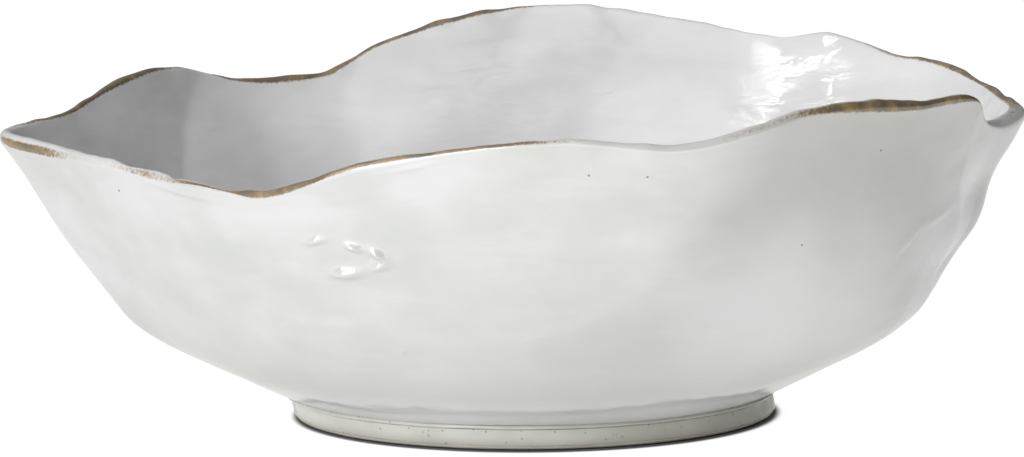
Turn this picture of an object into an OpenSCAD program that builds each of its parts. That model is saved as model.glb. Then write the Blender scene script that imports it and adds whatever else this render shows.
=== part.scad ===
// Porcelain serving bowl with a wavy, hand-pulled rim, standing on a low foot ring.
// The origin is the centre of the foot's standing face, +Z is up and +X runs to the bowl's right-hand spout.
// The clay wall is one lofted solid. The glaze lies on it as thin coats that meet it face to face.

/* [Foot] */
// Outer diameter of the standing face
foot_bottom_d = 156; // [120:1:200]
// Outer diameter where the wall leaves the foot
foot_top_d = 159; // [124:1:210]
// Height of the foot ring
foot_h = 8; // [4:0.5:16]
// Width of the standing face
foot_w = 6; // [3:0.5:12]
// Radius of the foot's rounded lower edges
foot_round = 1.2; // [0.5:0.1:2.5]
// Height of the bead of slip in the corner under the wall
bead_h = 1.4; // [0.8:0.1:3]

/* [Wall] */
// Thickness of the lip, glaze included
lip_t = 4; // [2.5:0.1:8]
// Thickness of the wall at half height
wall_t = 5.5; // [3:0.1:9]
// Thickness of the wall just above the foot
base_t = 9; // [5:0.5:15]
// Height of the inner floor at its centre
floor_z = 14; // [11:0.5:24]

/* [Glaze] */
// Thickness of every glaze coat
glaze_t = 0.5; // [0.3:0.1:1]
// How much of the foot is left bare above the standing face
bare_foot = 1.2; // [0.5:0.1:4]
// Share of the wall's rise where the iron-brown lip band starts
band_from = 0.95; // [0.9:0.01:0.98]

/* [Hidden] */
foot_r = foot_bottom_d / 2;
wall_r = foot_top_d / 2;
lip_r = lip_t / 2;
inner_foot_r = foot_r - foot_w;
segments = 84;

// The rim's crests, valleys and kinks, anticlockwise from the right-hand spout: angle, reach, height
RIM = [
    [0, 160, 96],
    [12, 161, 97],
    [25, 163, 100],
    [33, 163, 102],
    [40, 163, 102],
    [50, 162, 108],
    [57, 160, 107],
    [70, 157, 111],
    [87, 152, 116],
    [105, 152, 108],
    [110, 153, 104],
    [117, 154, 95],
    [120, 155, 94],
    [128, 158, 94],
    [138, 160, 100],
    [152, 160, 98],
    [163, 162, 93],
    [180, 172, 91],
    [190, 158, 90],
    [204, 150, 91],
    [222, 147, 89],
    [236, 147, 89],
    [248, 148, 98],
    [274, 148, 107],
    [288, 148, 104],
    [305, 148, 112],
    [325, 149, 110],
    [338, 152, 108],
    [346, 151, 98],
    [352, 153, 95]
];

// How the wall rises: angle, slope above the foot, fullness low down, fullness high up, lean at the lip
WALL = [
    [0, 24, 0.48, 0.40, 70],
    [45, 26, 0.42, 0.38, 62],
    [90, 24, 0.42, 0.38, 62],
    [135, 24, 0.45, 0.42, 58],
    [180, 21, 0.54, 0.40, 56],
    [225, 24, 0.47, 0.42, 62],
    [270, 23, 0.44, 0.38, 66],
    [315, 26, 0.44, 0.38, 72],
    [345, 24, 0.46, 0.40, 73]
];

// Hollows in the wall, and swells where the depth is below 0: angle, share of the rise, half-width,
// half-share, depth. The first lies under the right-hand spout, and the others are low on either side.
HOLLOWS = [
    [356, 0.85, 22, 0.14, 5],
    [180, 0.30, 28, 0.14, -4],
    [350, 0.30, 28, 0.14, -4]
];

// Shares of the wall's rise where its sections are taken, with finer steps where it bends most
OUTER_STEPS = [0, 0.05, 0.12, 0.22, 0.34, 0.46, 0.58, 0.7, 0.81, 0.9, band_from, 1];
INNER_STEPS = [1, band_from, 0.9, 0.81, 0.7, 0.58, 0.46, 0.34, 0.22, 0.12];
LIP_STEPS = [45, 90, 135];
FLOOR_STEPS = [0.84, 0.66, 0.46, 0.24];

// A smooth step from 0 to 1
function ease(x) =
    let (c = max(0, min(1, x)))
    c * c * (3 - 2 * c);

function unit(v) = v / norm(v);

// A row of a closed list, counted on past either end with whole turns added to its angle
function row_at(rows, i) =
    let (
        turn = floor(i / len(rows)),
        row = rows[i - turn * len(rows)]
    )
    [for (k = [0 : len(row) - 1]) k == 0 ? row[0] + 360 * turn : row[k]];

// Slope of the curve at q, from the parabola through its neighbours
function slope_at(p, q, r) =
    let (
        h0 = q[0] - p[0],
        h1 = r[0] - q[0]
    )
    ((q - p) * h1 / h0 + (r - q) * h0 / h1) / (h0 + h1);

// The values of a closed list of rows at an angle, on a smooth curve through them
function around(rows, angle) =
    let (
        a = angle - 360 * floor(angle / 360),
        i = len([for (row = rows) if (row[0] <= a) 1]) - 1,
        p = row_at(rows, i),
        q = row_at(rows, i + 1),
        mp = slope_at(row_at(rows, i - 1), p, q),
        mq = slope_at(p, q, row_at(rows, i + 2)),
        h = q[0] - p[0],
        u = (a - p[0]) / h,
        e = u * u * (3 - 2 * u)
    )
    (1 - e) * p + e * q + h * u * (1 - u) * ((1 - u) * mp - u * mq);

function total(values, i = 0) = i < len(values) ? values[i] + total(values, i + 1) : 0;

// How deep the hollows go at a place on the wall
function hollow(angle, t) = total([for (h = HOLLOWS)
    let (
        turned = angle - h[0] + 180,
        da = turned - 360 * floor(turned / 360) - 180
    )
    h[4] * exp(-pow(da / h[2], 2) - pow((t - h[1]) / h[3], 2))]);

// A point on the glazed outside, at a share t of the rise from the foot to the lip
function outside(angle, t) =
    let (
        rim = around(RIM, angle),
        wall = around(WALL, angle),
        foot = [wall_r, foot_h],
        lip = [rim[1], rim[2] - lip_r],
        span = norm(lip - foot),
        low = foot + wall[2] * span * [cos(wall[1]), sin(wall[1])],
        high = lip - wall[3] * span * [cos(wall[4]), sin(wall[4])],
        s = 1 - t,
        p = s * s * s * foot + 3 * s * s * t * low + 3 * s * t * t * high + t * t * t * lip,
        r = p[0] - hollow(angle, t)
    )
    [r * cos(angle), r * sin(angle), p[1]];

// The outward direction square to the outside there
function outward(angle, t) =
    unit(cross(
        outside(angle + 0.4, t) - outside(angle - 0.4, t),
        outside(angle, t + 0.01) - outside(angle, t - 0.01)
    ));

function rising(angle, t) = unit(outside(angle, t + 0.01) - outside(angle, t - 0.01));

// Whole thickness of the wall, glaze included
function thickness(t) =
    lip_t + (wall_t - lip_t) * ease((1 - t) / 0.4) + (base_t - wall_t) * ease((0.4 - t) / 0.4);

function theta(i) = 360 * i / segments;

// A ring of points at a depth under the outside
function ring_out(t, depth) =
    [for (i = [0 : segments - 1]) outside(theta(i), t) - depth * outward(theta(i), t)];

// The ring where the wall meets the foot, kept in the foot's top plane at any depth
function ring_foot(depth) = [for (i = [0 : segments - 1])
    let (r = wall_r - depth / sin(around(WALL, theta(i))[1]))
    [r * cos(theta(i)), r * sin(theta(i)), foot_h]];

// A ring of points at a depth under the inside
function ring_in(t, depth) = ring_out(t, thickness(t) - depth);

// A ring over the rounded lip, from 0 degrees outside to 180 inside
function ring_lip(turn, depth) = [for (i = [0 : segments - 1])
    let (
        n = outward(theta(i), 1),
        up = rising(theta(i), 1),
        middle = outside(theta(i), 1) - lip_r * n
    )
    middle + (lip_r - depth) * (n * cos(turn) + up * sin(turn))];

// A ring of the inner floor at a share f of its radius, which runs level from the centre and curves up the wall
function ring_floor(f, depth) =
    let (
        edge_t = INNER_STEPS[len(INNER_STEPS) - 1],
        edge = ring_in(edge_t, depth),
        above = ring_in(edge_t + 0.02, depth)
    )
    [for (i = [0 : segments - 1])
        let (
            r0 = norm([edge[i][0], edge[i][1]]),
            r1 = norm([above[i][0], above[i][1]]),
            grade = (above[i][2] - edge[i][2]) / (r1 - r0),
            rise = edge[i][2] - (floor_z - depth),
            power = max(2, grade * r0 / rise)
        )
        [f * edge[i][0], f * edge[i][1], floor_z - depth + rise * pow(f, power)]];

function flat_list(rings) = [for (ring = rings) for (p = ring) p];

// Two triangles between neighbouring points of ring j and ring k
function band_faces(j, k) = [for (i = [0 : segments - 1])
    let (
        n = (i + 1) % segments,
        a = j * segments + i,
        b = j * segments + n,
        c = k * segments + n,
        d = k * segments + i
    )
    each [[a, d, b], [b, d, c]]];

// A solid between a stack of rings and the two points that close its ends
module capped_loft(rings, first, last) {
    count = len(rings);
    bottom = count * segments;
    top = bottom + 1;
    points = concat(flat_list(rings), [first, last]);
    start = [for (i = [0 : segments - 1]) [bottom, i, (i + 1) % segments]];
    end = [for (i = [0 : segments - 1])
        [top, (count - 1) * segments + (i + 1) % segments, (count - 1) * segments + i]];
    sides = [for (j = [0 : count - 2]) each band_faces(j, j + 1)];
    polyhedron(points = points, faces = concat(start, sides, end), convexity = 6);
}

// A ring-shaped solid whose last ring joins its first
module looped_loft(rings) {
    count = len(rings);
    faces = [for (j = [0 : count - 1]) each band_faces(j, (j + 1) % count)];
    polyhedron(points = flat_list(rings), faces = faces, convexity = 6);
}

// The clay wall and floor, under the glaze on every side but the flat one that stands on the foot
module clay_body() {
    outer = [for (k = [1 : len(OUTER_STEPS) - 1]) ring_out(OUTER_STEPS[k], glaze_t)];
    lip = [for (turn = LIP_STEPS) ring_lip(turn, glaze_t)];
    inner = [for (t = INNER_STEPS) ring_in(t, glaze_t)];
    floor_rings = [for (f = FLOOR_STEPS) ring_floor(f, glaze_t)];
    color([0.84, 0.80, 0.72])
        capped_loft(concat([ring_foot(glaze_t)], outer, lip, inner, floor_rings),
            [0, 0, foot_h], [0, 0, floor_z - glaze_t]);
}

// The white glaze on the outside, from the foot to the lip band
module outside_glaze() {
    steps = [for (k = [1 : len(OUTER_STEPS) - 2]) OUTER_STEPS[k]];
    back = [for (k = [len(steps) - 1 : -1 : 0]) ring_out(steps[k], glaze_t)];
    front = [for (t = steps) ring_out(t, 0)];
    color([0.93, 0.93, 0.91])
        looped_loft(concat([ring_foot(0)], front, back, [ring_foot(glaze_t)]));
}

// The white glaze inside, from the lip band down over the floor, with its underside on the clay
module inside_glaze() {
    steps = [for (k = [1 : len(INNER_STEPS) - 1]) INNER_STEPS[k]];
    under = [for (k = [len(FLOOR_STEPS) - 1 : -1 : 0]) ring_floor(FLOOR_STEPS[k], glaze_t)];
    under_wall = [for (k = [len(steps) - 1 : -1 : 0]) ring_in(steps[k], glaze_t)];
    over_wall = [for (t = steps) ring_in(t, 0)];
    over = [for (f = FLOOR_STEPS) ring_floor(f, 0)];
    color([0.95, 0.95, 0.95])
        capped_loft(concat(under, under_wall, over_wall, over), [0, 0, floor_z - glaze_t], [0, 0, floor_z]);
}

// The lip's own coat, where the iron-brown edge shows through the white
module rim_band() {
    over = concat([ring_out(band_from, 0), ring_out(1, 0)], [for (turn = LIP_STEPS) ring_lip(turn, 0)],
        [ring_in(1, 0), ring_in(band_from, 0)]);
    under = concat([ring_in(band_from, glaze_t), ring_in(1, glaze_t)],
        [for (k = [len(LIP_STEPS) - 1 : -1 : 0]) ring_lip(LIP_STEPS[k], glaze_t)],
        [ring_out(1, glaze_t), ring_out(band_from, glaze_t)]);
    color([0.55, 0.44, 0.29])
        looped_loft(concat(over, under));
}

// Radius of the bare foot's outer face, under its glaze, at a height
function foot_face(z) = foot_r + (wall_r - 1.5 - foot_r) * z / foot_h;

bead_z = foot_h - bead_h;

// The foot ring, a turned hoop of clay with a level standing face
module foot_ring() {
    color([0.80, 0.76, 0.68])
        rotate_extrude($fn = 96)
            polygon(concat(
                [for (a = [270 : 30 : 360])
                    [foot_r - foot_round + foot_round * cos(a), foot_round + foot_round * sin(a)]],
                [[foot_face(foot_h), foot_h], [inner_foot_r - 3, foot_h]],
                [for (a = [180 : 30 : 270])
                    [inner_foot_r + foot_round + foot_round * cos(a), foot_round + foot_round * sin(a)]]
            ));
}

// The bead of slip that was run round the corner when the foot was joined on
module joint_bead() {
    middle = [(foot_face(bead_z) + wall_r) / 2, (bead_z + foot_h) / 2];
    reach = norm([wall_r, foot_h] - middle);
    tilt = atan2(foot_h - middle[1], wall_r - middle[0]);
    color([0.86, 0.84, 0.78])
        rotate_extrude($fn = 96)
            polygon(concat(
                [[foot_face(bead_z), bead_z]],
                [for (a = [-150 : 30 : -30])
                    middle + [reach * cos(a + tilt), reach * 0.6 * sin(a + tilt)]],
                [[wall_r, foot_h], [foot_face(foot_h), foot_h]]
            ));
}

// The thin glaze on the foot's outer face, stopped short of the standing face
module foot_glaze() {
    color([0.88, 0.87, 0.82])
        rotate_extrude($fn = 96)
            polygon([
                [foot_face(bare_foot), bare_foot],
                [foot_face(bare_foot) + glaze_t / 2, bare_foot],
                [foot_face(bead_z) + glaze_t, bead_z],
                [foot_face(bead_z), bead_z]
            ]);
}

// The glaze on the underside, a thin disc within the foot ring
module underside_glaze() {
    color([0.91, 0.90, 0.87])
        translate([0, 0, foot_h - glaze_t])
            cylinder(h = glaze_t, r = inner_foot_r - 3.2, $fn = 96);
}

clay_body();
foot_ring();
joint_bead();
outside_glaze();
inside_glaze();
rim_band();
foot_glaze();
underside_glaze();
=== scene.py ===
import math

import bpy
import numpy as np
from mathutils import Matrix, Vector


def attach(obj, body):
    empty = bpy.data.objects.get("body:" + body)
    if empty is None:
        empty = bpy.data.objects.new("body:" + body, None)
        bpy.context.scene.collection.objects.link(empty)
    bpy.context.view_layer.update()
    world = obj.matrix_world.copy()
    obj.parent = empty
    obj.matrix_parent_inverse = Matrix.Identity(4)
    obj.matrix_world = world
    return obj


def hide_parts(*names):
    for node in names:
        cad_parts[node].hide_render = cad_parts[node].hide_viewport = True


# A porcelain serving bowl with a wavy, hand-pulled rim: milky glaze over clay, an iron-brown lip and a low,
# thinly glazed foot ring. Lengths on the bowl are in millimetres until a mesh is made. Lengths in materials,
# lights and the camera are in metres. Angles are in degrees, anticlockwise from +X, the bowl's right-hand
# spout. A share runs from 0 at the foot to 1 at the lip.

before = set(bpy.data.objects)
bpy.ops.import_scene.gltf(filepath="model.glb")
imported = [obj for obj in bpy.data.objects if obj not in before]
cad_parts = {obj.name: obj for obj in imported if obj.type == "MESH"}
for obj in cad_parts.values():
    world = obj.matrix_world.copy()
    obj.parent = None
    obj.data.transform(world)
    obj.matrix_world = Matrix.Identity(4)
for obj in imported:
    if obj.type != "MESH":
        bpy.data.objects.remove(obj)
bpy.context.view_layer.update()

MM = 0.001
RANDOM_SEED = 7

# ---- The CAD part's sizes and curves, repeated ----

FOOT_R = 78.0  # the standing face's outer radius
WALL_R = 79.5  # where the wall leaves the foot
FOOT_H = 8.0
FOOT_W = 6.0
FOOT_ROUND = 1.2
BEAD_H = 1.4
LIP_T = 4.0
WALL_T = 5.5
BASE_T = 9.0
FLOOR_Z = 14.0
GLAZE_T = 0.5
BARE_FOOT = 1.2
FOOT_STEP = 1.5  # how far the wall starts outside the foot's top edge
FOOT_FLARE = 3.0  # how much narrower the foot's inner face is at its top
UNDER_GAP = 0.4  # between the underside's coat and the foot ring
BAND_FROM = 0.95  # share of the rise where the lip's own coat starts
WALL_FOOT_SHARE = 0.12  # share of the rise where the inner wall turns into the floor
LIP_R = LIP_T / 2
INNER_FOOT_R = FOOT_R - FOOT_W
INNER_TOP_R = INNER_FOOT_R - FOOT_FLARE
BEAD_Z = FOOT_H - BEAD_H

# The rim's crests, valleys and kinks: angle, reach, height
RIM = [
    (0, 160, 96), (12, 161, 97), (25, 163, 100), (33, 163, 102), (40, 163, 102), (50, 162, 108),
    (57, 160, 107), (70, 157, 111), (87, 152, 116), (105, 152, 108), (110, 153, 104), (117, 154, 95),
    (120, 155, 94), (128, 158, 94), (138, 160, 100), (152, 160, 98), (163, 162, 93), (180, 172, 91),
    (190, 158, 90), (204, 150, 91), (222, 147, 89), (236, 147, 89), (248, 148, 98), (274, 148, 107),
    (288, 148, 104), (305, 148, 112), (325, 149, 110), (338, 152, 108), (346, 151, 98), (352, 153, 95),
]
# How the wall rises: angle, slope above the foot, fullness low down, fullness high up, lean at the lip
WALL = [
    (0, 24, 0.48, 0.40, 70), (45, 26, 0.42, 0.38, 62), (90, 24, 0.42, 0.38, 62),
    (135, 24, 0.45, 0.42, 58), (180, 21, 0.54, 0.40, 56), (225, 24, 0.47, 0.42, 62),
    (270, 23, 0.44, 0.38, 66), (315, 26, 0.44, 0.38, 72), (345, 24, 0.46, 0.40, 73),
]
# Hollows in the wall, and swells where the depth is below 0: angle, share, half-width, half-share, depth
HOLLOWS = [(356, 0.85, 22, 0.14, 5), (180, 0.30, 28, 0.14, -4), (350, 0.30, 28, 0.14, -4)]

# ---- What only the fired bowl has ----

# The wall slumped a little to one side of its foot in the kiln, fading out at this height
SETTLE = 1.3
SETTLE_TOP = 45.0
# Presses and swells left by the hands: angle, share, half-width, half-share, height out of the bowl
PRESSES = [
    (262, 0.70, 16, 0.6, -1.5),
    (297, 0.95, 7, 0.22, 1.6),
    (290, 0.66, 7, 0.24, 2.2),
    (298, 0.34, 8, 0.20, 1.2),
    (317, 0.75, 13, 0.4, -2.0),
    (318, 0.60, 5, 0.10, -0.9),
    (252, 0.57, 11, 0.035, -0.5),
    (262, 0.44, 12, 0.04, -0.5),
    (336, 0.55, 9, 0.12, -1.4),
    (353, 0.48, 14, 0.11, -3.4),
    (354, 0.68, 8, 0.07, 0.8),
    (314, 0.36, 8, 0.14, 1.2),
]
# Folds that run down the wall from the lip: angle at the lip, how far it has turned at the foot, half-width,
# height out of the bowl, and how rounded the crease is
FOLDS = [
    (134, 33, 11, 5.0, 1.0),
    (338, 25, 6, 1.8, 1.2),
]
# Small ridges on the outside, from a fingertip, from runs in the glaze and along the lip: angle, share,
# half-length, half-width, turn from level, height
RIDGES = [
    (240.8, 0.85, 3.6, 1.3, 10, 1.8),
    (246.0, 0.80, 3.2, 1.3, -20, 1.9),
    (249.2, 0.762, 3.2, 1.4, -38, 2.0),
    (244.2, 0.725, 5.4, 1.9, 2, 2.3),
    (249.0, 0.725, 3.4, 1.5, 12, 1.7),
    (249.5, 0.40, 1.2, 0.6, 5, 0.9),
    (331, 0.63, 9, 2.0, 40, 0.6),
    (338.5, 0.71, 9, 2.0, 12, 0.6),
    (298.5, 0.70, 13, 4.0, 25, 0.6),
    (221, 0.986, 13, 0.9, -8, 0.6),
    (255, 0.986, 10, 0.9, 10, 0.5),
]
# Where the lip is thicker inside, or thinner where the growth is below 0: angle, half-width, growth
THICK_LIP = [
    (187, 14, 1.3), (215, 8, 0.3), (219.5, 1.0, -0.9), (150, 18, 0.4), (110, 12, 0.4), (325, 16, 0.3),
    (3, 7, 0.5),
]
THICK_MIDDLE = 1.5  # how far inside the crest the growth is greatest
THICK_REACH = 4.0
# Random relief: number of waves, shortest and longest wave, height, and how much shorter they are upwards
WALL_WAVES = [(14, 60, 120, 0.40, 1.0), (24, 24, 50, 0.19, 2.0), (16, 9, 18, 0.03, 1.0)]
LIP_WAVES = [(16, 12, 40, 0.18, 1.0), (16, 6, 14, 0.10, 1.0)]
LIP_REACH = 5.0  # how far from the crest the lip's waves fade out
RELIEF_RISE = 10.0  # how far above the foot the relief reaches its full height
# The mesh is finer about the fingertip's ridges: middle, half-width, and how many more rows at the middle
FINE_ANGLES = (245.0, 8.0, 2.6)
FINE_SHARES = (0.77, 0.10, 3.0)
# Larger dark specks in the outside glaze: angle, share, half-width
SPECKS = [
    (205.5, 0.96, 0.5), (320, 0.90, 0.45), (309, 0.66, 0.4), (276.8, 0.93, 0.4), (284.2, 0.95, 0.4),
]
# Wide soft patches of a darker tone, partly where the outside glaze is thin and partly painted shade: angle,
# share, reach, strength
THIN_AND_SHADE_PATCHES = [
    (316, 0.86, 60, 0.7), (330, 0.80, 35, 0.25), (300, 0.82, 45, 0.5), (285, 0.45, 30, 0.25),
    (262, 0.50, 30, 0.2), (210, 0.60, 35, 0.25),
]
# Wide soft patches of painted light, in the same terms
PAINTED_LIGHT_PATCHES = [(308, 0.46, 50, 0.85), (324, 0.46, 40, 0.5), (349, 0.86, 20, 0.6)]
# Dark patches of painted shade at the right-hand edge, in the same terms
PAINTED_SHADE_PATCHES = [(357.5, 0.73, 10, 0.6), (357.5, 0.66, 10, 0.6), (358, 0.59, 10, 0.6)]
# The lip's iron-brown line: angle, strength, middle of the line (below 0 is outside the crest), half-width
IRON = [
    (0, 0.5, 1.2, 1.3), (8, 0.8, 1.2, 1.4), (14, 0.9, 1.2, 1.4), (34, 0.85, 1.0, 1.3), (42, 0.5, 0.9, 1.1),
    (50, 0.15, 0.8, 0.9), (70, 0.08, 0.8, 0.8), (84, 0.15, 0.8, 0.8), (90, 0.5, 1.0, 1.2),
    (95, 0.95, 1.1, 1.6), (112, 1.0, 1.2, 1.9), (117, 0.9, 1.3, 2.0), (124, 0.95, 1.3, 2.1),
    (130, 0.8, 1.1, 1.6), (134, 0.35, 0.9, 1.0), (138, 0.5, 1.0, 1.3), (142, 0.9, 1.1, 1.6),
    (152, 1.0, 1.3, 1.9), (162, 0.95, 1.2, 1.8), (168, 0.8, 1.0, 1.4), (174, 0.4, 0.8, 1.1),
    (179, 0.3, -0.8, 1.0), (184, 1.0, -1.5, 1.0), (189, 0.8, -1.5, 1.1), (193, 0.5, -1.5, 1.2),
    (197, 0.25, -1.3, 1.0), (204, 0.12, -1.2, 1.0), (209, 0.35, -1.2, 1.2), (214, 0.5, -1.2, 1.3),
    (220, 0.45, -1.0, 1.0), (223, 0.85, -0.6, 0.7), (229, 0.9, -0.6, 0.8), (233, 1.0, -1.3, 1.8),
    (239, 1.0, -1.2, 1.7), (247, 0.9, -0.7, 0.8), (258, 1.0, -0.7, 1.0), (266, 0.95, -0.8, 1.0),
    (272, 0.5, -0.8, 0.9), (277, 0.2, -0.8, 0.7), (290, 0.08, -1.0, 0.7), (294, 0.3, -1.0, 0.9),
    (302, 0.40, -1.2, 1.0), (307, 0.70, -1.4, 1.3), (313, 0.85, -1.6, 1.6), (322, 0.9, -1.7, 1.7),
    (336, 0.95, -1.6, 1.6), (340, 0.35, -1.0, 1.0), (350, 0.15, -0.5, 0.8), (356, 0.4, 0.5, 1.0),
]
IRON_REACH = 5.0  # how far from the crest the iron ends
IRON_FADE = 1.5

# The mesh's size: points round the bowl, and rows up its parts
N_AROUND = 720
OUTER_ROWS = 100
BAND_ROWS = 14
LIP_ROWS = 20
INNER_ROWS = 70
FLOOR_ROWS = 30


# ---- Curves ----

def ease(x):
    """A smooth step from 0 to 1."""
    c = np.clip(x, 0, 1)
    return c * c * (3 - 2 * c)


def around(rows, angle):
    """The values of a closed list of rows at angles, on a smooth curve through them."""
    rows = np.array(rows, float)
    turn = np.zeros(rows.shape[1])
    turn[0] = 360
    knots = np.vstack([rows[-2:] - turn, rows, rows[:3] + turn])
    at, value = knots[:, 0], knots[:, 1:]
    gap = np.diff(at)[:, None]
    grade = np.diff(value, axis=0) / gap
    slope = np.zeros_like(value)
    slope[1:-1] = (grade[:-1] * gap[1:] + grade[1:] * gap[:-1]) / (gap[:-1] + gap[1:])
    angle = np.mod(angle, 360)
    i = np.searchsorted(at, angle, side="right") - 1
    h = gap[i]
    u = (angle - at[i])[..., None] / h
    e = u * u * (3 - 2 * u)
    return (1 - e) * value[i] + e * value[i + 1] + h * u * (1 - u) * ((1 - u) * slope[i] - u * slope[i + 1])


def angle_from(angle, middle):
    """The signed angle from middle, between -180 and 180."""
    return np.mod(angle - middle + 180, 360) - 180


def radial(angle, radius, z):
    """Points at angles, distances from the bowl's axis, and heights."""
    a = np.radians(angle)
    return np.stack(np.broadcast_arrays(radius * np.cos(a), radius * np.sin(a), z), -1)


def hollow(angle, t):
    """How deep the hollows go at places on the wall."""
    return sum(depth * np.exp(-(angle_from(angle, middle) / half_width) ** 2
                              - ((t - share) / half_share) ** 2)
               for middle, share, half_width, half_share, depth in HOLLOWS)


def outside(angle, t):
    """Points on the glazed outside, at shares t of the rise."""
    angle, t = np.broadcast_arrays(angle, t)
    reach, height = np.moveaxis(around(RIM, angle), -1, 0)
    slope, low, high, lean = np.moveaxis(around(WALL, angle), -1, 0)
    height = height - LIP_R
    slope, lean = np.radians(slope), np.radians(lean)
    span = np.hypot(reach - WALL_R, height - FOOT_H)
    s = 1 - t
    b0, b1, b2, b3 = s ** 3, 3 * s * s * t, 3 * s * t * t, t ** 3
    low_r, low_z = WALL_R + low * span * np.cos(slope), FOOT_H + low * span * np.sin(slope)
    high_r, high_z = reach - high * span * np.cos(lean), height - high * span * np.sin(lean)
    r = b0 * WALL_R + b1 * low_r + b2 * high_r + b3 * reach
    z = b0 * FOOT_H + b1 * low_z + b2 * high_z + b3 * height
    return radial(angle, r - hollow(angle, t), z)


def unit(v):
    return v / np.linalg.norm(v, axis=-1, keepdims=True)


def outward(angle, t):
    """The direction square to the outside."""
    return unit(np.cross(outside(angle + 0.4, t) - outside(angle - 0.4, t),
                         outside(angle, t + 0.01) - outside(angle, t - 0.01)))


def rising(angle, t):
    """The direction up the outside."""
    return unit(outside(angle, t + 0.01) - outside(angle, t - 0.01))


def thickness(t):
    """The wall's thickness, from the lip's to the base's."""
    return LIP_T + (WALL_T - LIP_T) * ease((1 - t) / 0.4) + (BASE_T - WALL_T) * ease((0.4 - t) / 0.4)


def inside(angle, t):
    """Points on the glazed inside, square in from the outside."""
    return outside(angle, t) - thickness(t)[..., None] * outward(angle, t)


def over_lip(angle, turn):
    """Points round the lip's rounded edge, from 0 degrees outside to 180 inside."""
    n, up = outward(angle, 1.0), rising(angle, 1.0)
    a = np.radians(turn)[..., None]
    return outside(angle, 1.0) - LIP_R * n + LIP_R * (n * np.cos(a) + up * np.sin(a))


def floor(angle, f):
    """Points on the inner floor at shares f of its radius, which curves up into the wall."""
    edge = inside(angle, np.full_like(angle, WALL_FOOT_SHARE))
    above = inside(angle, np.full_like(angle, WALL_FOOT_SHARE + 0.02))
    r0, r1 = np.hypot(edge[..., 0], edge[..., 1]), np.hypot(above[..., 0], above[..., 1])
    rise = edge[..., 2] - FLOOR_Z
    power = np.maximum(2, (above[..., 2] - edge[..., 2]) / (r1 - r0) * r0 / rise)
    return np.stack([f * edge[..., 0], f * edge[..., 1], FLOOR_Z + rise * f ** power], -1)


def settled(points):
    """Points after the wall slumped sideways on its foot."""
    z = points[..., 2]
    share = ease(z / FOOT_H) * (1 - ease((z - FOOT_H) / (SETTLE_TOP - FOOT_H)))
    return points - SETTLE * share[..., None] * np.array([1.0, 0, 0])


# ---- The unevenness of hand work ----

rng = np.random.default_rng(RANDOM_SEED)


def waves_in_space(points, count, shortest, longest, height, flatten=1.0):
    """A smooth uneven height at each point, whose swells are shorter upwards where flatten is above 1."""
    total = np.zeros(points.shape[:-1])
    for _ in range(count):
        direction = unit(rng.normal(size=3) * np.array([1, 1, flatten]))
        length = rng.uniform(shortest, longest)
        total += np.sin(points @ direction * (2 * math.pi / length) + rng.uniform(0, 2 * math.pi))
    return total * height / math.sqrt(count / 2)


def normals_of(grid):
    """Directions out of the clay over a grid of rings, by differences."""
    along = np.roll(grid, -1, axis=0) - np.roll(grid, 1, axis=0)
    across = np.gradient(grid, axis=1)
    return unit(np.cross(along, across))


def closer(start, end, count, middle, half_width, gain):
    """Values from start to end that lie closer together about the middle."""
    x = np.linspace(start, end, 4000)
    run = np.cumsum(1 + gain * np.exp(-((x - middle) / half_width) ** 2))
    return np.interp(np.linspace(run[0], run[-1], count), run, x)


def make_section():
    """The whole glazed skin as one grid: up the outside, over the lip, down the inside and over the floor."""
    angle = closer(0, 360, N_AROUND + 1, *FINE_ANGLES)[:-1, None]
    low = closer(0, BAND_FROM, OUTER_ROWS, *FINE_SHARES)
    band = np.linspace(BAND_FROM, 1, BAND_ROWS)
    turns = np.linspace(0, 180, LIP_ROWS)
    wall = np.linspace(BAND_FROM, WALL_FOOT_SHARE, INNER_ROWS)
    flat = np.linspace(1, 0.03, FLOOR_ROWS)
    parts = [
        outside(angle, low[None, :-1]),
        outside(angle, band[None, :-1]),
        over_lip(angle, turns[None, :]),
        inside(angle, band[None, -2:0:-1] + 0 * angle),
        inside(angle, wall[None, :] + 0 * angle),
        floor(angle, flat[None, 1:]),
    ]
    band_start = len(low) - 1
    crest = band_start + len(band) - 1 + len(turns) // 2
    band_end = band_start + 2 * (len(band) - 1) + len(turns) - 1
    return angle, low[:-1], settled(np.concatenate(parts, axis=1)), band_start, crest, band_end


def steps_along(grid, crest_row):
    """Distance along each section from its crest, below 0 outside."""
    step = np.linalg.norm(np.diff(grid, axis=1), axis=-1)
    run = np.concatenate([np.zeros((grid.shape[0], 1)), np.cumsum(step, axis=1)], axis=1)
    return run - run[:, crest_row:crest_row + 1]


angles, low_shares, smooth_skin, band_start, crest_row, band_end = make_section()
distance_from_crest = steps_along(smooth_skin, crest_row)


def lip_growth():
    """How much thicker the lip is inside, at each place of the skin."""
    inner_lip = (np.exp(-((distance_from_crest - THICK_MIDDLE) / THICK_REACH) ** 2)
                 * ease(distance_from_crest / 3 + 0.9))
    return sum(growth * np.exp(-(angle_from(angles, middle) / half_width) ** 2) * inner_lip
               for middle, half_width, growth in THICK_LIP)


def uneven(grid):
    """How far each place of the skin stands proud of the smooth shape."""
    height = sum(waves_in_space(grid, *wave) for wave in WALL_WAVES)
    near_lip = np.exp(-(distance_from_crest / LIP_REACH) ** 2)
    for wave in LIP_WAVES:
        height += near_lip * waves_in_space(grid, *wave)
    height[:, :crest_row] += ridges(grid[:, :crest_row])
    height += lip_growth()
    return height * ease((grid[..., 2] - FOOT_H) / RELIEF_RISE)


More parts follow.
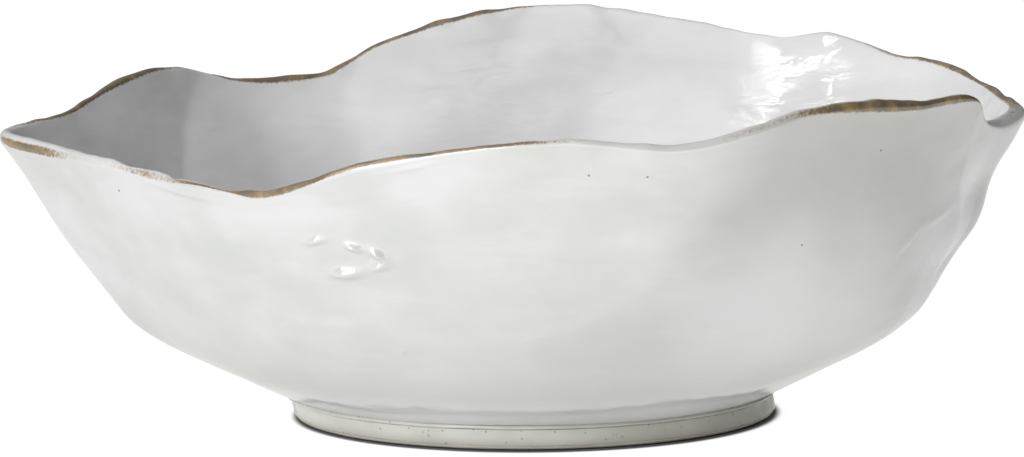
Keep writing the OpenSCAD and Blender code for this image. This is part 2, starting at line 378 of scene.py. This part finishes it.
def ridges(grid):
    """The height of the small ridges over the outside's rows."""
    total = np.zeros(grid.shape[:-1])
    for middle, share, half_length, half_width, turn, height in RIDGES:
        at = np.array([[float(middle)]])
        centre = outside(at, np.array([[share]]))[0, 0]
        upward = rising(at, np.array([[share]]))[0, 0]
        a, k = np.radians(middle), np.radians(turn)
        level = np.array([-math.sin(a), math.cos(a), 0])
        along = level * math.cos(k) + upward * math.sin(k)
        across = upward * math.cos(k) - level * math.sin(k)
        away = grid - centre
        total += height * np.exp(-((away @ along) / half_length) ** 2 - ((away @ across) / half_width) ** 2)
    return total


def pressed(grid):
    """Points moved in or out by the presses and folds, both faces of the wall the same way."""
    share = np.clip((grid[..., 2] - FOOT_H) / (around(RIM, angles)[..., 1] - FOOT_H), 0, 1)
    out = unit(grid * np.array([1, 1, 0]))
    total = np.zeros(grid.shape[:-1])
    for middle, at, half_width, half_share, height in PRESSES:
        total += height * np.exp(-(angle_from(angles, middle) / half_width) ** 2
                                 - ((share - at) / half_share) ** 2)
    for at_lip, turned, half_width, height, rounded in FOLDS:
        away = np.hypot(angle_from(angles, at_lip + turned * (1 - share)), rounded) - rounded
        total += height * np.exp(-away / half_width) * ease(share / 0.5)
    return grid + total[..., None] * out


moved_skin = pressed(smooth_skin)
skin = moved_skin + uneven(smooth_skin)[..., None] * normals_of(moved_skin)
skin_normals = normals_of(skin)
under_skin = skin - GLAZE_T * skin_normals
# The coat's back stays in the foot's top plane where the wall meets it
foot_slope = np.radians(around(WALL, angles[:, 0])[:, 0])
under_skin[:, 0] = settled(radial(angles[:, 0], WALL_R - GLAZE_T / np.sin(foot_slope), FOOT_H))


# ---- Meshes ----

def make_piece(name, points, faces, normals, node, slot, material):
    """A mesh piece from points in millimetres, which rides on the bowl and stands for a CAD node."""
    mesh = bpy.data.meshes.new(name)
    mesh.from_pydata((points * MM).tolist(), [], faces)
    mesh.polygons.foreach_set("use_smooth", [True] * len(mesh.polygons))
    mesh.normals_split_custom_set_from_vertices(unit(normals).tolist())
    mesh.materials.append(material)
    piece = bpy.data.objects.new(name, mesh)
    bpy.context.scene.collection.objects.link(piece)
    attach(piece, "root")
    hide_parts(node)
    return piece


def ring_faces(j, k, n):
    """Quads between ring j and ring k of n points, facing out when k comes after j."""
    i = np.arange(n)
    after = (i + 1) % n
    return np.stack([j * n + i, j * n + after, k * n + after, k * n + i], -1).tolist()


def looped(rings):
    """Faces of a stack of rings whose last ring joins its first."""
    count, n = len(rings), len(rings[0])
    return [face for j in range(count) for face in ring_faces(j, (j + 1) % count, n)]


def capped(rings):
    """Faces of a stack of rings closed by two end points, which follow the rings' points."""
    count, n = len(rings), len(rings[0])
    first, last = count * n, count * n + 1
    start = [[first, (i + 1) % n, i] for i in range(n)]
    end = [[last, (count - 1) * n + i, (count - 1) * n + (i + 1) % n] for i in range(n)]
    sides = [face for j in range(count - 1) for face in ring_faces(j, j + 1, n)]
    return start + sides + end


def rings_of(grid, rows):
    """The chosen rows of a grid, each a ring round the bowl."""
    return [grid[:, row] for row in rows]


def every(step, rows):
    """One in so many of some rows, and always the last."""
    rows = list(rows)
    chosen = rows[::step]
    return chosen if chosen[-1] == rows[-1] else chosen + rows[-1:]


def make_loop(name, rings, normals, *fittings):
    """A piece from a stack of rings whose last ring joins its first."""
    return make_piece(name, np.concatenate(rings), looped(rings), np.concatenate(normals), *fittings)


def make_disc(name, rings, normals, low, high, *fittings):
    """A piece from a stack of rings closed on the axis by a low point that faces down and a high one up."""
    ends = np.array([low, high])
    facing = np.array([[0, 0, -1.0], [0, 0, 1.0]])
    return make_piece(name, np.concatenate(rings + [ends]), capped(rings), np.concatenate(normals + [facing]),
                      *fittings)


def store(piece, name, values):
    """A number on each point of a piece, for its material."""
    attribute = piece.data.attributes.new(name, "FLOAT", "POINT")
    attribute.data.foreach_set("value", np.asarray(values, np.float32).ravel())


# ---- Materials ----

def colour(r, g, b):
    return (r, g, b, 1.0)


# The inside and the outside carry one glaze: the inside's colours are set lighter as painted light and the
# outside's darker as painted shade
OUTER_WHITE = colour(0.575, 0.575, 0.576)
OUTER_THIN = colour(0.485, 0.492, 0.470)
# A dark grey used as painted shade
OUTER_PAINTED_SHADE = colour(0.400, 0.400, 0.385)
# A lighter tone used as painted light
OUTER_PAINTED_LIGHT = colour(0.680, 0.680, 0.675)
# The outside's low tone: a greener thin glaze, also used as painted shade
OUTER_LOW_THIN_AND_SHADE = colour(0.428, 0.432, 0.395)
INNER_WHITE = colour(0.810, 0.804, 0.806)
INNER_THIN = colour(0.690, 0.688, 0.680)
SMALL_SPECK = colour(0.16, 0.15, 0.13)
LARGE_SPECK = colour(0.10, 0.085, 0.06)
IRON_PALE = colour(0.46, 0.40, 0.35)
IRON_GOLDEN = colour(0.30, 0.212, 0.11)
IRON_OLIVE = colour(0.145, 0.117, 0.075)
CLAY_LIGHT = colour(0.70, 0.64, 0.53)
CLAY_DARK = colour(0.60, 0.54, 0.44)
FOOT_CLAY_LIGHT = colour(0.62, 0.58, 0.50)
FOOT_CLAY_DARK = colour(0.50, 0.46, 0.39)
GRIT = colour(0.25, 0.20, 0.15)
FOOT_LIGHT = colour(0.53, 0.525, 0.485)
FOOT_DARK = colour(0.43, 0.43, 0.38)
FOOT_LOW_PAINTED_SHADE = colour(0.30, 0.30, 0.25)
FOOT_SIDE_PAINTED_SHADE = colour(0.25, 0.25, 0.21)
PINHOLE = colour(0.16, 0.13, 0.10)

# The gloss is a thin clear coat over the milky colour
COAT = 0.6
COAT_IOR = 2.1

# Heights above the floor over which the outside's tone turns thin and darker, partly a thin greener glaze and
# partly painted shade, and then heights just above the foot where painted light eases that shade off
LOW_TONE_FROM, LOW_TONE_TO = 0.045, 0.008
LIFT_FROM, LIFT_TO = 0.021, 0.012
LOW_TONE_KEPT_IN_LIFT = 0.15  # how much of the low tone is kept where the painted light eases it off
SPECK_EDGE = (0.6, 1.4)  # where a speck's edge starts and ends, in its radii


def new_material(name):
    material = bpy.data.materials.new(name)
    material.use_nodes = True
    return material, material.node_tree


def shader_of(tree):
    return tree.nodes["Principled BSDF"]


def add(tree, kind, inputs=None, **settings):
    """A new node, with each input set to a number or linked from another node's output."""
    node = tree.nodes.new(kind)
    for key, value in settings.items():
        setattr(node, key, value)
    for key, value in (inputs or {}).items():
        if isinstance(value, bpy.types.NodeSocket):
            tree.links.new(value, node.inputs[key])
        else:
            node.inputs[key].default_value = value
    return node


def place(tree, stretch=(1, 1, 1)):
    """The place on the bowl in metres, with each direction scaled."""
    where = add(tree, "ShaderNodeTexCoord").outputs["Object"]
    return add(tree, "ShaderNodeMapping", {"Vector": where, "Scale": stretch}).outputs["Vector"]


def noise(tree, scale, detail=3.0, roughness=0.5, stretch=(1, 1, 1), distortion=0.0):
    return add(tree, "ShaderNodeTexNoise", {
        "Vector": place(tree, stretch), "Scale": scale, "Detail": detail, "Roughness": roughness,
        "Distortion": distortion}).outputs["Fac"]


def ramp(tree, value, low, high, start=0.0, end=1.0):
    """A smooth change from start to end as a value goes from low to high."""
    return add(tree, "ShaderNodeMapRange", {
        "Value": value, "From Min": low, "From Max": high, "To Min": start, "To Max": end},
        interpolation_type="SMOOTHSTEP").outputs["Result"]


def maths(tree, operation, a, b=0.0):
    return add(tree, "ShaderNodeMath", {0: a, 1: b}, operation=operation).outputs[0]


def mixed(tree, share, first, second):
    """Two colours mixed by a share."""
    return add(tree, "ShaderNodeMix", {0: share, 6: first, 7: second}, data_type="RGBA").outputs[2]


def bump(tree, height, distance, below=None):
    """A bumped normal: how deep in metres, and the bump that it lies on."""
    inputs = {"Height": height, "Distance": distance}
    if below is not None:
        inputs["Normal"] = below
    return add(tree, "ShaderNodeBump", inputs).outputs["Normal"]


def specks(tree, scale, radius, share):
    """1 on small scattered spots: radius in metres, and the share of the cells that hold one."""
    cells = add(tree, "ShaderNodeTexVoronoi", {"Vector": place(tree), "Scale": scale, "Randomness": 1.0})
    chosen = add(tree, "ShaderNodeSeparateColor", {"Color": cells.outputs["Color"]}).outputs["Red"]
    is_chosen = maths(tree, "LESS_THAN", chosen, share)
    start, end = (radius * scale * edge for edge in SPECK_EDGE)
    near = ramp(tree, cells.outputs["Distance"], start, end, 1.0, 0.0)
    return maths(tree, "MULTIPLY", near, is_chosen)


def milky_glaze(tree, white, thin):
    """The colour of the milky glaze: soft patches and streaks between a white and a thinner grey."""
    patches = noise(tree, 22, detail=4)
    streaks = noise(tree, 1, detail=4, roughness=0.55, stretch=(26, 26, 80), distortion=0.6)
    share = maths(tree, "ADD", ramp(tree, patches, 0.35, 0.65, 0.0, 0.6),
                  ramp(tree, streaks, 0.35, 0.65, 0.0, 0.4))
    base = mixed(tree, share, white, thin)
    dark = specks(tree, 42, 0.00045, 0.10)
    return mixed(tree, maths(tree, "MULTIPLY", dark, 0.75), base, SMALL_SPECK)


def near_place(tree, angle, share, inner, outer, strength):
    """The strength within inner millimetres of a place on the outside, fading to 0 at outer."""
    i = int(np.argmin(np.abs(angles[:, 0] - angle)))
    j = int(np.argmin(np.abs(low_shares - share)))
    away = add(tree, "ShaderNodeVectorMath", {0: place(tree), 1: (skin[i, j] * MM).tolist()},
               operation="DISTANCE").outputs["Value"]
    return ramp(tree, away, inner * MM, outer * MM, strength, 0.0)


def outer_tone(tree):
    """The outside's milky glaze: thin and darker low down, partly as painted shade, with painted light easing
    it off just above the foot; wide patches of thin glaze with painted shade, of painted light, and of
    painted shade; and larger specks.
    """
    tone = milky_glaze(tree, OUTER_WHITE, OUTER_THIN)
    rise = add(tree, "ShaderNodeSeparateXYZ", {"Vector": place(tree)}).outputs["Z"]
    # Painted shade: the outside darkens towards the foot, partly as thin glaze, and painted light lifts it
    # again just above the foot
    thin_and_shaded_low = maths(tree, "MULTIPLY", ramp(tree, rise, LOW_TONE_FROM, LOW_TONE_TO),
                     ramp(tree, rise, LIFT_TO, LIFT_FROM, LOW_TONE_KEPT_IN_LIFT, 1.0))
    tone = mixed(tree, thin_and_shaded_low, tone, OUTER_LOW_THIN_AND_SHADE)
    # The patches blend in thin glaze with painted shade, painted light, and painted shade at the right-hand
    # edge
    for patches, inner, to in ((THIN_AND_SHADE_PATCHES, 0.1, OUTER_LOW_THIN_AND_SHADE), (PAINTED_LIGHT_PATCHES, 0.1, OUTER_PAINTED_LIGHT),
                               (PAINTED_SHADE_PATCHES, 0.4, OUTER_PAINTED_SHADE)):
        for angle, share, reach, strength in patches:
            tone = mixed(tree, near_place(tree, angle, share, inner * reach, reach, strength), tone, to)
    for angle, share, half_width in SPECKS:
        near = near_place(tree, angle, share, 0.5 * half_width, 1.4 * half_width, 0.8)
        tone = mixed(tree, near, tone, LARGE_SPECK)
    return tone


def outer_glaze_material():
    """The outside's glossy glaze."""
    material, tree = new_material("outer_glaze")
    shader = shader_of(tree)
    tree.links.new(outer_tone(tree), shader.inputs["Base Color"])
    glaze_gloss(tree, shader)
    return material


def glaze_gloss(tree, shader, brush=0.0002, coat_roughness=0.07):
    """Gloss, its slight unevenness, and the fine dimples that a fired glaze has."""
    uneven_gloss = noise(tree, 60, detail=3)
    tree.links.new(ramp(tree, uneven_gloss, 0.3, 0.7, 0.05, 0.13), shader.inputs["Roughness"])
    shader.inputs["Specular IOR Level"].default_value = 0.0
    shader.inputs["Coat Weight"].default_value = COAT
    shader.inputs["Coat IOR"].default_value = COAT_IOR
    shader.inputs["Coat Roughness"].default_value = coat_roughness
    brushed = noise(tree, 1, detail=3, stretch=(50, 50, 140), distortion=0.5)
    dimples = noise(tree, 520, detail=2)
    relief = bump(tree, dimples, 0.00002, below=bump(tree, brushed, brush))
    tree.links.new(relief, shader.inputs["Normal"])
    tree.links.new(relief, shader.inputs["Coat Normal"])


def glaze_material(name, white, thin, **gloss):
    """A glossy milky glaze with no placed patches."""
    material, tree = new_material(name)
    shader = shader_of(tree)
    tree.links.new(milky_glaze(tree, white, thin), shader.inputs["Base Color"])
    glaze_gloss(tree, shader, **gloss)
    return material


def lip_material():
    """The same glaze, with the iron-brown that breaks through on the lip's edge."""
    material, tree = new_material("iron_lip")
    shader = shader_of(tree)
    inward = add(tree, "ShaderNodeAttribute", attribute_name="inward").outputs["Fac"]
    # The outside's tone brings its painted shade and painted light onto the lip's outer side
    glaze = mixed(tree, inward, outer_tone(tree), milky_glaze(tree, INNER_WHITE, INNER_THIN))
    iron = add(tree, "ShaderNodeAttribute", attribute_name="iron").outputs["Fac"]
    grain = noise(tree, 900, detail=2, roughness=0.6)
    patches = noise(tree, 160, detail=4, roughness=0.6)
    depth = maths(tree, "ADD", iron, ramp(tree, grain, 0.25, 0.75, -0.17, 0.17))
    golden = mixed(tree, ramp(tree, depth, 0.2, 0.7), IRON_PALE, IRON_GOLDEN)
    olive = maths(tree, "MULTIPLY", ramp(tree, depth, 0.45, 0.85), ramp(tree, patches, 0.30, 0.58))
    tone = mixed(tree, olive, golden, IRON_OLIVE)
    share = ramp(tree, depth, 0.10, 0.70)
    tree.links.new(mixed(tree, share, glaze, tone), shader.inputs["Base Color"])
    glaze_gloss(tree, shader)
    return material


def clay_material(name, light, dark):
    """Bare fired clay: matt, speckled and slightly gritty."""
    material, tree = new_material(name)
    shader = shader_of(tree)
    patches = noise(tree, 60, detail=5)
    base = mixed(tree, ramp(tree, patches, 0.3, 0.7), light, dark)
    grit = specks(tree, 260, 0.0004, 0.25)
    tree.links.new(mixed(tree, maths(tree, "MULTIPLY", grit, 0.5), base, GRIT), shader.inputs["Base Color"])
    tree.links.new(ramp(tree, noise(tree, 300), 0.3, 0.7, 0.65, 0.85), shader.inputs["Roughness"])
    tree.links.new(bump(tree, noise(tree, 1400, detail=4), 0.0001), shader.inputs["Normal"])
    return material


def foot_glaze_material(name):
    """Thin glaze over the clay: greyer, with painted shade low down and on the right-hand side, and pinholes.
    """
    material, tree = new_material(name)
    shader = shader_of(tree)
    patches = noise(tree, 35, detail=4)
    base = mixed(tree, ramp(tree, patches, 0.35, 0.65), FOOT_LIGHT, FOOT_DARK)
    where = add(tree, "ShaderNodeSeparateXYZ", {"Vector": place(tree)})
    # Painted shade: the foot's glaze darkens towards the floor
    base = mixed(tree, ramp(tree, where.outputs["Z"], 0.0045, 0.0005, 0.0, 0.45), base, FOOT_LOW_PAINTED_SHADE)
    # Painted shade: the foot's glaze darkens towards the right-hand side
    base = mixed(tree, ramp(tree, where.outputs["X"], 0.02, 0.08, 0.0, 0.6), base, FOOT_SIDE_PAINTED_SHADE)
    holes = specks(tree, 420, 0.00036, 0.8)
    tree.links.new(mixed(tree, maths(tree, "MULTIPLY", holes, 0.6), base, PINHOLE),
                   shader.inputs["Base Color"])
    tree.links.new(ramp(tree, noise(tree, 120), 0.3, 0.7, 0.28, 0.45), shader.inputs["Roughness"])
    tree.links.new(bump(tree, noise(tree, 700, detail=3), 0.00005), shader.inputs["Normal"])
    return material


# ---- The pieces of the bowl ----

BASE_RINGS = (20.0, 50.0)  # radii of the rings across the clay's flat base
floor_middle = skin[:, -1, 2].mean()
facing_down = np.tile([0, 0, -1.0], (N_AROUND, 1))


def make_outside_glaze():
    front = list(range(band_start + 1))
    back = every(4, front[::-1])
    rings = rings_of(skin, front) + rings_of(under_skin, back)
    normals = rings_of(skin_normals, front) + rings_of(-skin_normals, back)
    make_loop("bowl_outside_glaze", rings, normals, "outside_glaze", "outer_glaze", outer_glaze_material())


def iron_strength():
    """How strongly the iron shows at each place of the skin near the lip."""
    strength, middle, half_width = np.moveaxis(around(IRON, angles), -1, 0)
    away = np.abs(distance_from_crest - middle) / half_width
    edge_fade = ease((IRON_REACH - np.abs(distance_from_crest)) / IRON_FADE)
    return np.clip(strength, 0, 1) * (1 - ease((away - 0.55) / 0.9)) * edge_fade


def make_rim_band():
    front = list(range(band_start, band_end + 1))
    back = every(2, front[::-1])
    rings = rings_of(skin, front) + rings_of(under_skin, back)
    normals = rings_of(skin_normals, front) + rings_of(-skin_normals, back)
    piece = make_loop("bowl_rim_band", rings, normals, "rim_band", "iron_lip", lip_material())
    iron = iron_strength()
    store(piece, "iron", np.concatenate(rings_of(iron, front + back)))
    inward = ease(distance_from_crest / 4 + 0.5)
    store(piece, "inward", np.concatenate(rings_of(inward, front + back)))


def make_inside_glaze():
    front = list(range(band_end, skin.shape[1]))
    back = every(4, front[::-1])
    rings = rings_of(under_skin, back) + rings_of(skin, front)
    normals = rings_of(-skin_normals, back) + rings_of(skin_normals, front)
    make_disc("bowl_inside_glaze", rings, normals, [0, 0, floor_middle - GLAZE_T], [0, 0, floor_middle],
              "inside_glaze", "inner_glaze",
              glaze_material("inner_glaze", INNER_WHITE, INNER_THIN, brush=0.0005, coat_roughness=0.12))


def make_clay_body():
    rows = every(3, range(skin.shape[1]))
    base = [settled(radial(angles[:, 0], r, FOOT_H)) for r in BASE_RINGS]
    rings = base + rings_of(under_skin, rows)
    normals = [facing_down] * len(base) + rings_of(skin_normals, rows)
    make_disc("bowl_clay_body", rings, normals, [-SETTLE, 0, FOOT_H], [0, 0, floor_middle - GLAZE_T],
              "clay_body", "clay", clay_material("clay", CLAY_LIGHT, CLAY_DARK))


def foot_face(z):
    """Radius of the bare foot's outer face at a height."""
    return FOOT_R + (WALL_R - FOOT_STEP - FOOT_R) * z / FOOT_H


def arc(middle, radii, start, end, steps=7):
    """Points of an arc in a profile of (radius, height)."""
    a = np.radians(np.linspace(start, end, steps))
    return [(middle[0] + radii[0] * math.cos(v), middle[1] + radii[1] * math.sin(v)) for v in a]


def evenly_spaced(profile, step):
    """The corners of a closed profile with more points along its longer sides."""
    points = []
    for p, q in zip(profile, profile[1:] + profile[:1]):
        count = max(1, round(math.dist(p, q) / step))
        points += [(p[0] + (q[0] - p[0]) * k / count, p[1] + (q[1] - p[1]) * k / count) for k in range(count)]
    return points


def normals_of_loop(grid):
    """Directions out of a hoop whose last row joins its first."""
    return normals_of(np.concatenate([grid[:, -1:], grid, grid[:, :1]], axis=1))[:, 1:-1]


def turned(name, profile, step, height, node, slot, material):
    """A hoop turned by hand: a closed profile, anticlockwise in radius and height, with slight unevenness."""
    points = evenly_spaced(profile, step)
    r, z = np.array(points).T
    grid = settled(radial(angles, r[None, :], z[None, :]))
    free = ease(z) * ease(FOOT_H - z)
    grid = grid + (waves_in_space(grid, 18, 9, 40, height) * free)[..., None] * normals_of_loop(grid)
    rows = range(grid.shape[1])
    return make_loop(name, rings_of(grid, rows), rings_of(normals_of_loop(grid), rows), node, slot, material)


def make_foot_ring():
    ring = (arc((FOOT_R - FOOT_ROUND, FOOT_ROUND), (FOOT_ROUND, FOOT_ROUND), 270, 360)
            + [(foot_face(FOOT_H), FOOT_H), (INNER_TOP_R, FOOT_H)]
            + arc((INNER_FOOT_R + FOOT_ROUND, FOOT_ROUND), (FOOT_ROUND, FOOT_ROUND), 180, 270))
    turned("bowl_foot_ring", ring, 0.8, 0.06, "foot_ring", "foot_clay",
           clay_material("foot_clay", FOOT_CLAY_LIGHT, FOOT_CLAY_DARK))


def make_joint_bead():
    """A bead with a rounded underside, in the corner between the foot's top and the wall."""
    middle = ((foot_face(BEAD_Z) + WALL_R) / 2, (BEAD_Z + FOOT_H) / 2)
    reach = math.dist((WALL_R, FOOT_H), middle)
    tilt = math.atan2(FOOT_H - middle[1], WALL_R - middle[0])
    lower = []
    for a in np.radians(np.linspace(-150, -30, 7)):
        lower.append((middle[0] + reach * math.cos(a + tilt), middle[1] + reach * 0.6 * math.sin(a + tilt)))
    bead = [(foot_face(BEAD_Z), BEAD_Z)] + lower + [(WALL_R, FOOT_H), (foot_face(FOOT_H), FOOT_H)]
    turned("bowl_joint_bead", bead, 0.4, 0.04, "joint_bead", "slip_bead",
           foot_glaze_material("slip_bead"))


def make_foot_glaze():
    coat = [(foot_face(BARE_FOOT), BARE_FOOT), (foot_face(BARE_FOOT) + GLAZE_T / 2, BARE_FOOT),
            (foot_face(BEAD_Z) + GLAZE_T, BEAD_Z), (foot_face(BEAD_Z), BEAD_Z)]
    turned("bowl_foot_glaze", coat, 0.4, 0.06, "foot_glaze", "foot_glaze",
           foot_glaze_material("foot_glaze"))


def make_underside():
    radii = np.linspace(4, INNER_TOP_R - UNDER_GAP, 24)
    low = [settled(radial(angles[:, 0], r, FOOT_H - GLAZE_T)) for r in radii]
    high = [settled(radial(angles[:, 0], r, FOOT_H)) for r in radii[::-1]]
    normals = [facing_down] * len(low) + [-facing_down] * len(high)
    make_disc("bowl_underside_glaze", low + high, normals,
              [-SETTLE, 0, FOOT_H - GLAZE_T], [-SETTLE, 0, FOOT_H], "underside_glaze", "under_glaze",
              glaze_material("under_glaze", OUTER_WHITE, OUTER_THIN))


make_clay_body()
make_outside_glaze()
make_inside_glaze()
make_rim_band()
make_foot_ring()
make_joint_bead()
make_foot_glaze()
make_underside()


# ---- Floor, light and camera ----

FLOOR_SIZE = 12.0
FLOOR_DROP = 0.0003
FLOOR_GLOW = 0.93
LEFT_EDGE = (-1.3, -0.25)  # where the glow fades to the left, and RIGHT_EDGE to the right
RIGHT_EDGE = (0.40, 1.4)
STRIP_DIM = 0.6
FRONT_EDGE = (-0.50, -0.16)  # where it grows towards the front
FRONT_GAIN = 2.2
SHADE_MIDDLE = (0.0005, -0.0025, 0.0)  # the ring under the foot where a contact shadow is painted into the floor's glow
SHADE_EDGE = (0.0775, 0.0805)
WORLD_SIDE = (-0.8, 0.0, 0.6)
WORLD_BRIGHT = 0.58
WORLD_DIM = 0.0
# Softboxes: name, degrees left of the camera's side, elevation, distance, width, height, power
SOFTBOXES = [
    ("key_softbox", 76, 42, 1.6, 0.10, 0.6, 1.6),
    ("fill_softbox", 71, 42, 1.6, 0.30, 0.8, 1.4),
    ("front_softbox", 33, 45, 2.2, 2.0, 2.0, 8),
    ("low_softbox", 31, 14, 1.6, 1.2, 0.6, 12),
]
SOFTBOX_AIM = Vector((0, 0, 0.07))


def make_floor():
    """A pale floor that glows softly, as a lit sweep does, with a painted contact shadow close under the
    bowl.
    """
    mesh = bpy.data.meshes.new("studio_floor")
    corners = [(x * FLOOR_SIZE, y * FLOOR_SIZE, 0) for x, y in ((-1, -1), (1, -1), (1, 1), (-1, 1))]
    mesh.from_pydata(corners, [], [(0, 1, 2, 3)])
    material, tree = new_material("studio_floor")
    shader = shader_of(tree)
    shader.inputs["Base Color"].default_value = colour(0.15, 0.15, 0.15)
    shader.inputs["Roughness"].default_value = 0.9
    where = add(tree, "ShaderNodeTexCoord").outputs["Object"]
    away = add(tree, "ShaderNodeVectorMath", {0: where, 1: SHADE_MIDDLE}, operation="DISTANCE")
    apart = add(tree, "ShaderNodeSeparateXYZ", {"Vector": where})
    across, forward = apart.outputs["X"], apart.outputs["Y"]
    lit = maths(tree, "MULTIPLY", ramp(tree, across, *LEFT_EDGE, FLOOR_GLOW * STRIP_DIM, FLOOR_GLOW),
                ramp(tree, across, *RIGHT_EDGE, 1.0, STRIP_DIM))
    lit = maths(tree, "MULTIPLY", lit, ramp(tree, forward, *FRONT_EDGE, FRONT_GAIN, 1.0))
    # Painted contact shadow: the glow drops to nothing in a ring under the foot
    tree.links.new(maths(tree, "MULTIPLY", ramp(tree, away.outputs["Value"], *SHADE_EDGE), lit),
                   shader.inputs["Emission Strength"])
    shader.inputs["Emission Color"].default_value = colour(1, 1, 1)
    mesh.materials.append(material)
    piece = bpy.data.objects.new("studio_floor", mesh)
    piece.location.z = -FLOOR_DROP
    bpy.context.scene.collection.objects.link(piece)


def make_world():
    """A soft room light, brighter on the left than on the right."""
    world = bpy.data.worlds.new("studio")
    bpy.context.scene.world = world
    world.use_nodes = True
    tree = world.node_tree
    direction = add(tree, "ShaderNodeTexCoord").outputs["Generated"]
    towards = add(tree, "ShaderNodeVectorMath", {0: direction, 1: WORLD_SIDE}, operation="DOT_PRODUCT")
    strength = ramp(tree, towards.outputs["Value"], -0.6, 0.9, WORLD_DIM, WORLD_BRIGHT)
    tree.links.new(strength, tree.nodes["Background"].inputs["Strength"])
    tree.nodes["Background"].inputs["Color"].default_value = colour(0.97, 0.98, 1.0)


def make_softbox(name, turn, elevation, distance, width, height, power):
    """A rectangular light that is aimed at the bowl."""
    light = bpy.data.lights.new(name, "AREA")
    light.shape = "RECTANGLE"
    light.size, light.size_y = width, height
    light.energy = power
    lamp = bpy.data.objects.new(name, light)
    back = Vector(from_left(turn, elevation)).normalized()
    lamp.location = SOFTBOX_AIM + back * distance
    lamp.rotation_mode = "QUATERNION"
    lamp.rotation_quaternion = back.to_track_quat("Z", "Y")
    bpy.context.scene.collection.objects.link(lamp)


def from_left(turn, elevation):
    """The direction that is turned left from the camera's side by some degrees, and raised by others."""
    a, e = math.radians(turn), math.radians(elevation)
    return -math.sin(a) * math.cos(e), -math.cos(a) * math.cos(e), math.sin(e)


CAMERA_DISTANCE = 2.6
CAMERA_ELEVATION = 7.85
CAMERA_ROLL = 0.55
CAMERA_AIM = Vector((-0.0068, 0.0, 0.060))
LENS = 281.5
SENSOR = 36.0


def make_camera():
    """The camera, turned a little about its own line of sight."""
    e, r = math.radians(CAMERA_ELEVATION), math.radians(CAMERA_ROLL)
    back = Vector((0, -math.cos(e), math.sin(e)))
    level_right, level_up = Vector((1, 0, 0)), Vector((0, math.sin(e), math.cos(e)))
    right = level_right * math.cos(r) - level_up * math.sin(r)
    up = level_right * math.sin(r) + level_up * math.cos(r)
    data = bpy.data.cameras.new("camera")
    data.lens, data.sensor_width = LENS, SENSOR
    camera = bpy.data.objects.new("camera", data)
    camera.matrix_world = (Matrix.Translation(CAMERA_AIM + back * CAMERA_DISTANCE)
                           @ Matrix((right, up, back)).transposed().to_4x4())
    bpy.context.scene.collection.objects.link(camera)
    bpy.context.scene.camera = camera


make_floor()
make_world()
for softbox in SOFTBOXES:
    make_softbox(*softbox)
make_camera()
bpy.context.scene.view_settings.view_transform = "Standard"
